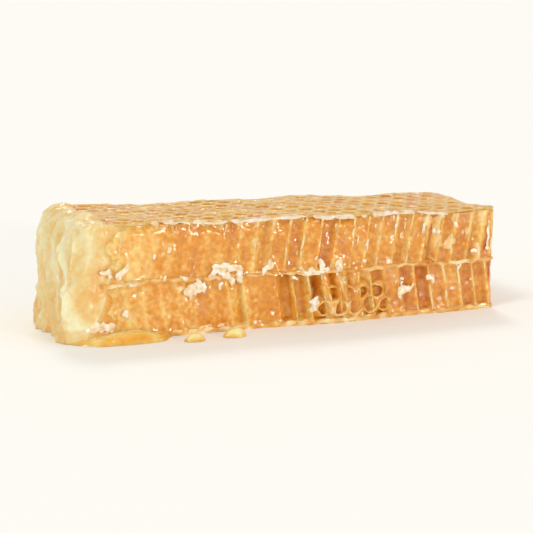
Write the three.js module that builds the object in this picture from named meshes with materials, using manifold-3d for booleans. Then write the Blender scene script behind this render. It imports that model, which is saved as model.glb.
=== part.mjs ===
// A cut strip of honeycomb that lies on one comb face, as a three.js scene graph.
// Millimetres, +Z up, X along the strip, and the long cut face that shows best towards -Y.
// The comb has two layers of hexagonal cells, back to back on a midrib. The knife went through the
// cells all round, so they stand open as upright troughs between thin wax walls.
import * as THREE from "three";
import { mergeVertices } from "three/addons/utils/BufferGeometryUtils.js";
import Module from "manifold-3d";

const wasm = await Module();
wasm.setup();
const { Manifold, Mesh: SolidMesh } = wasm;

// Corners closer than this are one corner of the finished strip
const finestDetail = 0.004;

// The strip
const stripLength = 140;
const stripDepth = 44;
const stripHeight = 34;
const leftCornerRadius = 6;
const rightCornerRadius = 2;
const leastCornerRadius = 0.6;
const smearRadius = 8;

// How finely the outline, its corners and the smeared edge are divided
const sideStep = 8;
const leftStep = 2.4;
const drainedStep = 14;
const cornerSteps = 3;
const heightSteps = 3;
const smearSteps = 18;
const smearSegments = 5;

// The comb: cells are measured across their flats, and lean away from the midrib
const cellPitch = 5.3;
const wallThickness = 0.8;
const midribThickness = 1.8;
const midribHeight = 16.6;
const cappingThickness = 1.3;
const cellLean = THREE.MathUtils.degToRad(9);

// How far the honey has drained back from the knife's cut
const filledDrain = 0.6;
const sideDrain = 1;
const openDrain = 1.4;
const hollowDrain = 4.4;
const smearedEnd = 8;
const openedVolume = 8;
const hollowStart = -18;
const hollowEnd = 36;
const smoothFrontEnd = -16;

// The scoop where the lower layer broke out between the midrib and the bottom cappings
const scoopRadii = new THREE.Vector3(31, 2.7, 7);
const scoopCentre = new THREE.Vector3(9, -stripDepth / 2, 8.3);
const scoopSegments = 16;

// The cappings on the upper face
const rimWidth = 0.9;
const cappingDish = 0.85;
const cappingDome = 0.3;
const uncappedDepth = 1.9;
const uncappedShare = 0.14;
const bevelWidth = 0.45;

// Unevenness. A wave has its height and, as its run, the distance over which it turns by a radian.
const knifeWaves = [
  { height: 0.9, run: 17, phase: 0.6 },
  { height: 0.5, run: 7.3, phase: 0 },
];
const rightEndWave = { height: 0.6, run: 8, phase: 0 };
const narrowFold = { height: 0.9, run: 1.7, phase: 0 };
const wideFold = { height: 0.8, run: 3.6, phase: 0 };
const foldTwist = 9;
const slump = 3;
const slumpFade = 1.5;
const endFade = 10;
const sideFade = 4;
const taper = 0.035;
const dips = { height: 0.6, run: 15, phase: 0.8 };
const dipRunAcross = 17;
const ripples = { height: 0.35, run: 6, phase: 0 };
const rippleRunAcross = 5;

// Torn wax that sticks to the front face: where it is along the strip, its height and its half sizes
const flakes = [
  { x: -24, z: 17.4, width: 5.4, height: 2.1, turn: -12 },
  { x: -34, z: 14.6, width: 3.8, height: 1.8, turn: 10 },
  { x: -10.5, z: 18.2, width: 2.6, height: 1.4, turn: 24 },
  { x: 5, z: 16.4, width: 4.8, height: 1.5, turn: 4 },
  { x: 13.5, z: 17, width: 1.9, height: 1.9, turn: -20 },
  { x: -61, z: 20, width: 2.6, height: 1.2, turn: 50 },
  { x: -62, z: 5.6, width: 4.4, height: 1.7, turn: -4 },
  { x: 40, z: 7.4, width: 3.4, height: 1.6, turn: 12 },
];
const flakeStand = 1.1;

const layers = {
  upper: { direction: 1, offsetX: 0, offsetY: 0, reach: stripHeight - midribHeight },
  lower: {
    direction: -1,
    offsetX: cellPitch / 2,
    offsetY: cellPitch / (2 * Math.sqrt(3)),
    reach: midribHeight,
  },
};
const halfLength = stripLength / 2;
const halfDepth = stripDepth / 2;
const rowSpacing = (cellPitch * Math.sqrt(3)) / 2;
const cellRadius = cellPitch / Math.sqrt(3);
const leanSlope = Math.tan(cellLean);

// A closed solid made of a three.js geometry, with close corners merged and empty faces dropped.
function solidOf(geometry, closeness = 1e-4) {
  const bare = geometry.clone();
  bare.deleteAttribute("normal");
  bare.deleteAttribute("uv");
  const merged = mergeVertices(bare, closeness);
  const corners = [];
  const index = merged.index.array;
  for (let i = 0; i < index.length; i += 3) {
    const [a, b, c] = [index[i], index[i + 1], index[i + 2]];
    if (a !== b && b !== c && c !== a) corners.push(a, b, c);
  }
  return new Manifold(
    new SolidMesh({
      numProp: 3,
      vertProperties: merged.attributes.position.array,
      triVerts: new Uint32Array(corners),
    }),
  );
}

// A solid's corners and triangles as a three.js geometry.
function geometryOf(solid) {
  const { vertProperties, triVerts } = solid.getMesh();
  const geometry = new THREE.BufferGeometry();
  geometry.setAttribute("position", new THREE.BufferAttribute(new Float32Array(vertProperties), 3));
  geometry.setIndex(new THREE.BufferAttribute(new Uint32Array(triVerts), 1));
  return geometry;
}

// The largest body of a solid: scraps that the cuts left loose are dropped.
function largestBody(solid) {
  return solid.decompose().reduce((best, body) => (body.volume() > best.volume() ? body : best));
}

// Moves every corner of a geometry by a rule.
function moved(geometry, rule) {
  const corners = geometry.attributes.position;
  const point = new THREE.Vector3();
  for (let i = 0; i < corners.count; i += 1) {
    point.fromBufferAttribute(corners, i);
    rule(point);
    corners.setXYZ(i, point.x, point.y, point.z);
  }
  return geometry;
}

// How far a wave lies from its middle at a place, with a twist added to its angle.
function waveAt(wave, place, twist = 0) {
  return wave.height * Math.sin(place / wave.run + wave.phase + twist);
}

// Where the folds and the slump of the smeared wax put a point of the left end.
function smear(point) {
  const up = THREE.MathUtils.clamp(point.z / stripHeight, 0, 1);
  const atLeft = Math.max(0, -point.x / halfLength) ** endFade;
  const narrow = waveAt(narrowFold, point.y, point.z / foldTwist) * Math.sqrt(up);
  const folds = narrow + waveAt(wideFold, point.y);
  point.x -= (folds + slump * (1 - up) ** slumpFade) * atLeft;
}

// Where the knife's wander puts a point of the strip: sideways on the long sides, and a little
// along the strip at the right end.
function wander(point) {
  const across = point.y / halfDepth;
  const atSide = Math.sign(across) * Math.abs(across) ** sideFade;
  const atRight = Math.max(0, point.x / halfLength) ** endFade;
  const knife = knifeWaves.reduce((sum, wave) => sum + waveAt(wave, point.x), 0);
  point.x += waveAt(rightEndWave, point.y) * atRight;
  point.y += knife * atSide;
}

// Where the soft comb's uneven thickness and its sagging upper face put a point: only up or down.
function sag(point) {
  const share = point.z / stripHeight;
  const dip = waveAt(dips, point.x) * Math.cos(point.y / dipRunAcross);
  const ripple = waveAt(ripples, point.x, point.y / rippleRunAcross);
  point.z = point.z * (1 - (taper * point.x) / halfLength) + share * (dip + ripple);
}

// The cut outline of the strip seen from above, set in by a distance: corners as arcs, and sides
// as evenly spaced points, closest on the smeared left end whose folds need them.
function outline(inset, step, stepAtLeft) {
  const x = halfLength - inset;
  const y = halfDepth - inset;
  const left = Math.max(leftCornerRadius - inset, leastCornerRadius);
  const right = Math.max(rightCornerRadius - inset, leastCornerRadius);
  const line = (x1, y1, x2, y2, spacing) => {
    const side = new THREE.LineCurve(new THREE.Vector2(x1, y1), new THREE.Vector2(x2, y2));
    return side.getSpacedPoints(Math.max(1, Math.round(side.getLength() / spacing)));
  };
  const corner = (cx, cy, radius, start) =>
    new THREE.EllipseCurve(cx, cy, radius, radius, start, start + Math.PI / 2).getPoints(cornerSteps);
  const points = [
    ...line(-x + left, -y, x - right, -y, step),
    ...corner(x - right, -y + right, right, -Math.PI / 2),
    ...line(x, -y + right, x, y - right, step),
    ...corner(x - right, y - right, right, 0),
    ...line(x - right, y, -x + left, y, step),
    ...corner(-x + left, y - left, left, Math.PI / 2),
    ...line(-x, y - left, -x, -y + left, stepAtLeft),
    ...corner(-x + left, -y + left, left, Math.PI),
  ];
  const apart = (point, i) => point.distanceTo(points[(i + 1) % points.length]) > finestDetail;
  return new THREE.Shape(points.filter(apart));
}

// The strip's block: its outline, drawn upwards, with the smeared folds on its left end.
function block() {
  const options = { depth: stripHeight, steps: heightSteps, bevelEnabled: false };
  return solidOf(moved(new THREE.ExtrudeGeometry(outline(0, sideStep, leftStep), options), smear));
}

// What is left of the block once the honey has drained back by a distance.
function drainedBlock(drain) {
  const options = { depth: stripHeight, bevelEnabled: false };
  return solidOf(new THREE.ExtrudeGeometry(outline(drain, drainedStep, drainedStep), options));
}

// Every cell of a layer, by where its axis meets the midrib, out to just past the strip's edge.
function cellsOf(layer) {
  const cells = [];
  const rows = Math.ceil(halfDepth / rowSpacing) + 1;
  const columns = Math.ceil(halfLength / cellPitch) + 2;
  for (let row = -rows; row <= rows; row += 1) {
    const shift = Math.abs(row) % 2 === 1 ? cellPitch / 2 : 0;
    for (let column = -columns; column <= columns; column += 1) {
      const x = column * cellPitch + shift + layer.offsetX;
      const y = row * rowSpacing + layer.offsetY;
      cells.push({ x, y, place: (row + rows) * 1000 + column + columns });
    }
  }
  return cells;
}

// The hollow of one cell: a six-sided prism that leans away from the midrib.
function cellHollow(cell, layer) {
  const start = midribThickness / 2;
  const height = layer.reach - cappingThickness - start;
  const radius = cellRadius - wallThickness / Math.sqrt(3);
  const prism = new THREE.CylinderGeometry(radius, radius, height, 6);
  prism.rotateX(Math.PI / 2);
  prism.translate(0, 0, layer.direction * (start + height / 2));
  prism.applyMatrix4(new THREE.Matrix4().makeShear(0, 0, 0, 0, layer.direction * leanSlope, 0));
  prism.translate(cell.x, cell.y, midribHeight);
  return solidOf(prism);
}

// What the knife dragged off the left end's upper edge: all that lies outside a rounded corner.
function smearedCorner() {
  const clear = 5;
  const [x, z] = [-halfLength + smearRadius, stripHeight - smearRadius];
  const profile = new THREE.Shape();
  profile.moveTo(-halfLength - clear, z);
  profile.lineTo(-halfLength, z);
  profile.absarc(x, z, smearRadius, Math.PI, Math.PI / 2, true);
  profile.lineTo(x, stripHeight + clear);
  profile.lineTo(-halfLength - clear, stripHeight + clear);
  const depth = stripDepth + 2 * clear;
  const options = { depth, steps: smearSteps, curveSegments: smearSegments, bevelEnabled: false };
  const cutter = new THREE.ExtrudeGeometry(profile, options);
  return solidOf(moved(cutter.rotateX(Math.PI / 2).translate(0, depth / 2, 0), smear));
}

// How far the honey has drained back in a cell that the knife opened: none at the smeared end.
function drainOf(cell, layer) {
  if (cell.x < -halfLength + smearedEnd) return 0;
  if (cell.x > halfLength - cellPitch) return openDrain;
  if (cell.y > 0) return sideDrain;
  if (cell.x < smoothFrontEnd) return filledDrain;
  const inHollow = cell.x > hollowStart && cell.x < hollowEnd;
  return layer.direction < 0 && inHollow ? hollowDrain : openDrain;
}

// Whether a point lies on or near the strip's edge, so that the knife may have opened its cell.
function nearEdge(x, y, reach) {
  const inX = halfLength - Math.abs(x);
  const inY = halfDepth - Math.abs(y);
  return Math.min(inX, inY) < reach && inX > -cellPitch && inY > -cellPitch;
}

// The troughs that the knife opened, one set for each depth of drained honey.
function openedCells(whole) {
  const byDrain = new Map();
  for (const layer of Object.values(layers)) {
    for (const cell of cellsOf(layer)) {
      const drain = drainOf(cell, layer);
      const middle = cell.x + (leanSlope * layer.reach) / 2;
      if (drain === 0 || !nearEdge(middle, cell.y, drain + cellPitch)) continue;
      if (!byDrain.has(drain)) byDrain.set(drain, []);
      const hollow = cellHollow(cell, layer);
      if (hollow.subtract(whole).volume() > openedVolume) byDrain.get(drain).push(hollow);
    }
  }
  const troughs = [];
  for (const [drain, hollows] of byDrain) {
    const ring = whole.subtract(drainedBlock(drain));
    troughs.push(Manifold.union(hollows).intersect(ring));
  }
  return Manifold.union(troughs);
}

// The dent over one cell of the upper face: a dished capping with a low dome, or open honey.
function cappingDent(uncapped) {
  const rim = cellRadius - rimWidth / Math.sqrt(3);
  const edge = uncapped ? uncappedDepth : cappingDish;
  const middle = uncapped ? uncappedDepth : cappingDome;
  const above = 1;
  const profile = [
    new THREE.Vector2(0, -middle),
    new THREE.Vector2(rim - bevelWidth, -edge),
    new THREE.Vector2(rim, 0),
    new THREE.Vector2(rim, above),
    new THREE.Vector2(0, above),
  ];
  return new THREE.LatheGeometry(profile, 6).rotateX(Math.PI / 2);
}

// The dents of all cells on the upper face, with a few left uncapped well inside the edge.
function cappingDents() {
  const layer = layers.upper;
  const leastRoom = cellPitch / 3;
  const uncappedRoom = 1.3 * cellPitch;
  const dents = [];
  for (const cell of cellsOf(layer)) {
    const x = cell.x + leanSlope * layer.reach;
    const room = Math.min(halfLength - Math.abs(x), halfDepth - Math.abs(cell.y));
    if (room < leastRoom || x < -halfLength + smearedEnd) continue;
    const uncapped = THREE.MathUtils.seededRandom(cell.place) < uncappedShare && room > uncappedRoom;
    dents.push(solidOf(cappingDent(uncapped).translate(x, cell.y, stripHeight)));
  }
  return Manifold.union(dents);
}

// The scoop that broke out of the lower layer's front.
function scoop() {
  const ball = new THREE.SphereGeometry(1, scoopSegments, scoopSegments / 2);
  ball.scale(scoopRadii.x, scoopRadii.y, scoopRadii.z);
  return solidOf(ball.translate(scoopCentre.x, scoopCentre.y, scoopCentre.z));
}

// Torn wax flakes, each a flattened many-sided lump half sunk in the front face.
function waxFlakes() {
  return flakes.map((flake) => {
    const lump = new THREE.IcosahedronGeometry(1, 0);
    lump.scale(flake.width, flakeStand, flake.height);
    lump.rotateY(THREE.MathUtils.degToRad(flake.turn));
    return solidOf(lump.translate(flake.x, -halfDepth, flake.z));
  });
}

// The whole strip as one closed geometry that rests on z = 0 about the origin.
function stripGeometry() {
  const whole = block();
  const cut = whole
    .subtract(openedCells(whole))
    .subtract(cappingDents())
    .subtract(scoop())
    .subtract(smearedCorner());
  const strip = largestBody(Manifold.union([cut, ...waxFlakes()]));
  const bent = moved(moved(geometryOf(strip), wander), sag);
  const geometry = geometryOf(largestBody(solidOf(bent, finestDetail)));
  geometry.computeBoundingBox();
  const middle = geometry.boundingBox.getCenter(new THREE.Vector3());
  geometry.translate(-middle.x, -middle.y, -geometry.boundingBox.min.z);
  return geometry.toNonIndexed();
}

const comb = new THREE.MeshStandardMaterial({ color: 0xe2a050, roughness: 0.3, metalness: 0 });
const strip = new THREE.Mesh(stripGeometry(), comb);
strip.geometry.computeVertexNormals();
strip.name = "honeycomb_strip";

const honeycomb = new THREE.Group();
honeycomb.add(strip);

export default honeycomb;
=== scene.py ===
"""The looks of a cut strip of capped honeycomb that lies on one comb face.

Every piece is modelled in millimetres as part of a straight strip, and one set of rules then gives it
the knife's wander, the smeared folds and the sag that the solid model has, and puts it in metres.
"""

import logging
import math
import random
from collections.abc import Iterator
from dataclasses import dataclass
from enum import Enum

import bmesh
import bpy
from bmesh.types import BMEdge, BMesh, BMFace, BMVert
from bpy.types import Material, Node, NodeSocket, NodeTree, Object
from mathutils import Matrix, Vector, noise


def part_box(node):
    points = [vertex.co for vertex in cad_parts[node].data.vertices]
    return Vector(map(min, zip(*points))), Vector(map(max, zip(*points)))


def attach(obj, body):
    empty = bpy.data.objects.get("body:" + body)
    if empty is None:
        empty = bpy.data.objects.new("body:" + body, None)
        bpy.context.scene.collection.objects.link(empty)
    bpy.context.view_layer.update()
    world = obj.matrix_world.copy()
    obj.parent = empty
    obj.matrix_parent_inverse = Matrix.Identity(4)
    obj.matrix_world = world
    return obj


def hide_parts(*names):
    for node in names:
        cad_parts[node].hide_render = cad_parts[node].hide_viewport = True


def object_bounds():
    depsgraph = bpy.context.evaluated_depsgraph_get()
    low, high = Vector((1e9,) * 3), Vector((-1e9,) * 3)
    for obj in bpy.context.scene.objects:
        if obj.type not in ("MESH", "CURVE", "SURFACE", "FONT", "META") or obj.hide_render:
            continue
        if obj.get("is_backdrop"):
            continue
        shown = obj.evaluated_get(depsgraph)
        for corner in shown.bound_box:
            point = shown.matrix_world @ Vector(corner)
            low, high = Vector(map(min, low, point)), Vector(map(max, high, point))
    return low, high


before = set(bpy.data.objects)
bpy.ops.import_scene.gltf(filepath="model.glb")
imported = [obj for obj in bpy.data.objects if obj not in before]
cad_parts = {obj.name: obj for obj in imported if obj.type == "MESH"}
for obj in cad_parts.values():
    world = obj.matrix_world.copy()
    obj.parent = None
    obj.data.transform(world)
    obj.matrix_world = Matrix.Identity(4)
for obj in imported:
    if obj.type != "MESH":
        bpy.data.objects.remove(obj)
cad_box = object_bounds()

logging.basicConfig(level=logging.INFO, format="%(message)s")
log = logging.getLogger("honeycomb")

MM = 0.001
BODY = "root"
NODE = "honeycomb_strip"
SHARP = math.radians(55.0)  # a sharper edge isn't smoothed over
FACING = 0.3  # how far a side's way out turns along X where it is an end
AT_SIDE = 0.01  # how near a point on a side lies to it, in millimetres


class Layer(Enum):
    """Which of the comb's two layers of cells, by the way it grows from the midrib."""

    UPPER = 1
    LOWER = -1


def clamp(value: float, low: float = 0.0, high: float = 1.0) -> float:
    """Returns the value, kept between the two limits."""
    return max(low, min(high, value))


def ease(start: float, end: float, value: float) -> float:
    """A smooth step.

    Args:
        start: Where the step begins, as 0.
        end: Where the step ends, as 1.
        value: The place to read it at.

    Returns:
        A share from 0 to 1.
    """
    share = clamp((value - start) / (end - start))
    return share * share * (3.0 - 2.0 * share)


def grain(x: float, y: float, z: float, run: float) -> float:
    """Smooth noise from about -1 to 1.

    Args:
        x: Place along X.
        y: Place along Y.
        z: Place along Z.
        run: Size of its lumps, in the unit of the place.

    Returns:
        The noise at that place.
    """
    return noise.noise(Vector((x / run, y / run, z / run)))


def chance(*place: int) -> float:
    """A draw from 0 to 1 that is always the same for the same whole numbers."""
    return noise.cell(Vector((place[0] + 0.5, place[1] + 0.5, (place[2] if len(place) > 2 else 0) + 0.5)))


@dataclass(frozen=True)
class Wave:
    """A sine wave whose run is the distance over which it turns by one radian."""

    height: float
    run: float
    phase: float = 0.0

    def at(self, place: float, twist: float = 0.0) -> float:
        """Returns how far the wave lies from its middle at a place, with a twist added to its angle."""
        return self.height * math.sin(place / self.run + self.phase + twist)


@dataclass(frozen=True)
class Rough:
    """Smooth unevenness: how far it goes, the size of its lumps, and how they are packed along each axis."""

    height: float
    run: float
    packing: tuple[float, float, float] = (1.0, 1.0, 1.0)

    def at(self, x: float, y: float, z: float) -> float:
        """Returns how far it goes at a place, up or down."""
        a, b, c = self.packing
        return self.height * grain(x * a, y * b, z * c, self.run)


@dataclass(frozen=True)
class Strip:
    """The whole strip's form in millimetres: its cut outline, and the rules that make it uneven."""

    length: float = 140.0
    depth: float = 44.0
    height: float = 34.0
    left_radius: float = 6.0
    right_radius: float = 2.0
    smear_radius: float = 8.0
    knife: tuple[Wave, ...] = (Wave(0.9, 17.0, 0.6), Wave(0.5, 7.3))
    right_end: Wave = Wave(0.6, 8.0)
    narrow_fold: Wave = Wave(0.9, 1.7)
    wide_fold: Wave = Wave(0.8, 3.6)
    fold_twist: float = 9.0
    slump: float = 3.0
    slump_fade: float = 1.5
    end_fade: float = 10.0
    side_fade: float = 4.0
    taper: float = 0.035
    dips: Wave = Wave(0.6, 15.0, 0.8)
    dip_run_across: float = 17.0
    ripples: Wave = Wave(0.35, 6.0)
    ripple_run_across: float = 5.0

    @property
    def half_length(self) -> float:
        """Half of the strip's length."""
        return self.length / 2

    @property
    def half_depth(self) -> float:
        """Half of the strip's depth."""
        return self.depth / 2

    def knife_at(self, x: float) -> float:
        """Returns how far the knife has wandered outwards at a place along the strip."""
        return sum(wave.at(x) for wave in self.knife)

    def shift(self) -> Vector:
        """Returns what centres the strip in the frame, worked out from the solid model's own box."""
        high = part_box(NODE)[1] / MM
        peak = max(self.knife_at(x) for x in range(-int(self.half_length), int(self.half_length)))
        at_end = high.x - self.half_length - self.right_end.height
        return Vector((at_end, high.y - self.half_depth - peak, 0))

    def top_at(self, x: float) -> float:
        """Returns the straight strip's height at a place, lower where the left end was dragged round."""
        middle = -self.half_length + self.smear_radius
        if x >= middle:
            return self.height
        fall = self.smear_radius**2 - min(middle - x, self.smear_radius) ** 2
        return self.height - self.smear_radius + math.sqrt(fall)

    def smear(self, p: Vector) -> None:
        """Moves a point of the left end to where the folds and the slump of the smeared wax put it."""
        up = clamp(p.z / self.height)
        at_left = max(0.0, -p.x / self.half_length) ** self.end_fade
        folds = self.narrow_fold.at(p.y, p.z / self.fold_twist) * math.sqrt(up) + self.wide_fold.at(p.y)
        p.x -= (folds + self.slump * (1 - up) ** self.slump_fade) * at_left

    def wander(self, p: Vector) -> None:
        """Moves a point of a side to where the knife's wander puts it."""
        across = p.y / self.half_depth
        at_side = math.copysign(abs(across) ** self.side_fade, across)
        at_right = max(0.0, p.x / self.half_length) ** self.end_fade
        knife = self.knife_at(p.x)
        p.x += self.right_end.at(p.y) * at_right
        p.y += knife * at_side

    def sag(self, p: Vector) -> None:
        """Moves a point up or down to where the soft comb's uneven thickness puts it."""
        share = p.z / self.height
        dip = self.dips.at(p.x) * math.cos(p.y / self.dip_run_across)
        ripple = self.ripples.at(p.x, p.y / self.ripple_run_across)
        p.z = p.z * (1 - self.taper * p.x / self.half_length) + share * (dip + ripple)

    def outline(self, share: float) -> tuple[Vector, Vector]:
        """Walks the cut outline, anticlockwise from the front left corner.

        Args:
            share: How far round, from 0 to 1.

        Returns:
            The place in the plan, and the way out from it.
        """
        x, y, left, right = self.half_length, self.half_depth, self.left_radius, self.right_radius
        quarter = math.pi / 2
        # For each stretch: length, start or circle's middle, way if straight, radius, facing
        runs: list[tuple[float, Vector, Vector | None, float, float]] = [
            (2 * x - left - right, Vector((-x + left, -y)), Vector((1, 0)), 0.0, -quarter),
            (quarter * right, Vector((x - right, -y + right)), None, right, -quarter),
            (2 * (y - right), Vector((x, -y + right)), Vector((0, 1)), 0.0, 0.0),
            (quarter * right, Vector((x - right, y - right)), None, right, 0.0),
            (2 * x - left - right, Vector((x - right, y)), Vector((-1, 0)), 0.0, quarter),
            (quarter * left, Vector((-x + left, y - left)), None, left, quarter),
            (2 * (y - left), Vector((-x, y - left)), Vector((0, -1)), 0.0, math.pi),
            (quarter * left, Vector((-x + left, -y + left)), None, left, math.pi),
        ]
        walk = (share % 1.0) * sum(run[0] for run in runs)
        for size, start, way, radius, facing in runs:
            if walk <= size:
                break
            walk -= size
        if way is not None:
            return start + way * walk, Vector((math.cos(facing), math.sin(facing)))
        turn = facing + walk / radius
        out = Vector((math.cos(turn), math.sin(turn)))
        return start + out * radius, out


@dataclass(frozen=True)
class Cell:
    """One cell: its layer, its row and column, and where its axis meets the midrib."""

    layer: Layer
    row: int
    column: int
    x: float
    y: float

    def draw(self, salt: int) -> float:
        """Returns this cell's own draw from 0 to 1, another for each salt."""
        return chance(self.row * 7 + salt, self.column, self.layer.value * 3 + salt)


@dataclass(frozen=True)
class Comb:
    """The lattice of six-sided cells, in millimetres, which all the pieces share."""

    strip: Strip
    pitch: float = 5.3
    midrib_height: float = 16.6
    lean: float = math.radians(9.0)
    drift: Rough = Rough(0.55, 15.0)
    drift_planes: tuple[float, float] = (3.1, 9.7)
    look_step: float = 0.3

    @property
    def row_spacing(self) -> float:
        """Distance from row to row."""
        return self.pitch * math.sqrt(3) / 2

    @property
    def cell_radius(self) -> float:
        """Distance from a cell's axis to its corners."""
        return self.pitch / math.sqrt(3)

    def offset(self, layer: Layer) -> tuple[float, float]:
        """Returns how far a layer's cells lie from those of the upper layer."""
        return (0.0, 0.0) if layer is Layer.UPPER else (self.pitch / 2, self.pitch / (2 * math.sqrt(3)))

    def cell(self, layer: Layer, row: int, column: int) -> Cell:
        """Returns the cell at a row and column of a layer."""
        across, along = self.offset(layer)
        x = column * self.pitch + (self.pitch / 2 if row % 2 else 0.0) + across
        return Cell(layer, row, column, x, row * self.row_spacing + along)

    def cells(self, layer: Layer) -> Iterator[Cell]:
        """Returns every cell of a layer out to past the strip's edge, row by row."""
        rows = math.ceil(self.strip.half_depth / self.row_spacing) + 2
        columns = math.ceil(self.strip.half_length / self.pitch) + 2
        for row in range(-rows, rows + 1):
            for column in range(-columns, columns + 1):
                yield self.cell(layer, row, column)

    def leaning(self, z: float) -> float:
        """Returns how far the cells have leaned towards +X at a height."""
        return math.tan(self.lean) * abs(z - self.midrib_height)

    def drifting(self, x: float, y: float) -> tuple[float, float]:
        """Returns how far the bees' rows stray from a perfect lattice at a place."""
        along, across = (self.drift.at(x, y, plane) for plane in self.drift_planes)
        return along, across

    def into_strip(self, x: float, y: float) -> tuple[float, float]:
        """Turns a place of the perfect lattice into one of the straight strip, before the knife's wander."""
        drift_x, drift_y = self.drifting(x, y)
        x, y = x + drift_x, y + drift_y
        across = clamp(y / self.strip.half_depth, -1.0, 1.0)
        at_side = math.copysign(abs(across) ** self.strip.side_fade, across)
        return x, y - self.strip.knife_at(x) * at_side

    def into_lattice(self, p: Vector) -> tuple[float, float]:
        """Turns a point of the straight strip into a place of the perfect lattice."""
        q = p.copy()
        self.strip.wander(q)
        x = q.x - self.leaning(p.z)
        drift_x, drift_y = self.drifting(x, q.y)
        return x - drift_x, q.y - drift_y

    def nearest(self, layer: Layer, x: float, y: float) -> tuple[float, Cell]:
        """Finds the cell that holds a place.

        Args:
            layer: The layer to look in.
            x: Place along the perfect lattice.
            y: Place across it.

        Returns:
            The distance to the middle of the cell's nearest wall, and the cell.
        """
        across, along = self.offset(layer)
        middle_row = round((y - along) / self.row_spacing)
        best: tuple[float, Cell] | None = None
        for row in (middle_row - 1, middle_row, middle_row + 1):
            column = round((x - across - (self.pitch / 2 if row % 2 else 0.0)) / self.pitch)
            cell = self.cell(layer, row, column)
            dx, dy = x - cell.x, y - cell.y
            slants = abs(dx) / 2 + abs(dy) * math.sqrt(3) / 2
            wall = self.pitch / 2 - max(abs(dx), slants)
            if best is None or wall > best[0]:
                best = (wall, cell)
        return best

    def to_wall(self, layer: Layer, x: float, y: float, way: Vector, furthest: float) -> float:
        """Looks through the empty part of a cell.

        Args:
            layer: The layer to look in.
            x: Where the look starts, along the lattice.
            y: Where it starts, across it.
            way: The way to look.
            furthest: How far to look.

        Returns:
            The distance to the first wall.
        """
        far = self.look_step
        while far < furthest:
            if self.nearest(layer, x + way.x * far, y + way.y * far)[0] < self.look_step:
                return far
            far += self.look_step
        return furthest


STRIP = Strip()
COMB = Comb(STRIP)
SHIFT = STRIP.shift()


def placed(p: Vector) -> Vector:
    """Puts a point of the straight strip in the frame.

    Args:
        p: The point, in millimetres.

    Returns:
        The same point with folds, wander and sag, in metres.
    """
    q = p.copy()
    STRIP.smear(q)
    STRIP.wander(q)
    STRIP.sag(q)
    return (q + SHIFT) * MM


def linear(code: str) -> tuple[float, float, float, float]:
    """Turns an sRGB hex colour into the linear one that a shader takes.

    Args:
        code: Six hex digits.

    Returns:
        Red, green, blue and an alpha of 1.
    """
    shares = [int(code[i : i + 2], 16) / 255 for i in (0, 2, 4)]
    red, green, blue = (c / 12.92 if c <= 0.04045 else ((c + 0.055) / 1.055) ** 2.4 for c in shares)
    return red, green, blue, 1.0


def add_node(
    tree: NodeTree, kind: str, settings: dict | None = None, **links: object
) -> Node:
    """Adds a node.

    Args:
        tree: The tree to add it to.
        kind: The node's type.
        settings: Its settings, by attribute name, and its inputs' values, by socket name.
        **links: Sockets that feed its inputs, by the input's name with _ for a space.

    Returns:
        The new node.
    """
    node = tree.nodes.new(kind)
    for name, value in (settings or {}).items():
        if name in node.inputs:
            node.inputs[name].default_value = value
        else:
            setattr(node, name, value)
    for name, socket in links.items():
        tree.links.new(socket, node.inputs[name.replace("_", " ")])
    return node


def uneven_normal(
    tree: NodeTree, place: NodeSocket, size_mm: float, strength: float, height_mm: float
) -> NodeSocket:
    """Makes the normal of a surface with fine lumps.

    Args:
        tree: The material's tree.
        place: The coordinates.
        size_mm: Size of the lumps.
        strength: How much of them shows.
        height_mm: How high they are.

    Returns:
        The normal.
    """
    lumps = add_node(tree, "ShaderNodeTexNoise", {"Scale": 1 / (size_mm * MM)}, Vector=place)
    relief = {"Strength": strength, "Distance": height_mm * MM}
    return add_node(tree, "ShaderNodeBump", relief, Height=lumps.outputs["Fac"]).outputs["Normal"]


def add_to_tone(
    tree: NodeTree,
    tone: NodeSocket,
    value: NodeSocket,
    taken: tuple[float, float],
    given: tuple[float, float],
) -> NodeSocket:
    """Adds a value to a tone.

    Args:
        tree: The material's tree.
        tone: The tone.
        value: What is added.
        taken: The two values that the next ones stand for.
        given: What is added at each of them.

    Returns:
        The new tone.
    """
    limits = dict(zip(("From Min", "From Max", "To Min", "To Max"), (*taken, *given)))
    spread = add_node(tree, "ShaderNodeMapRange", limits, Value=value)
    total = add_node(tree, "ShaderNodeMath", {"operation": "ADD"})
    tree.links.new(tone, total.inputs[0])
    tree.links.new(spread.outputs["Result"], total.inputs[1])
    return total.outputs["Value"]


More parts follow.
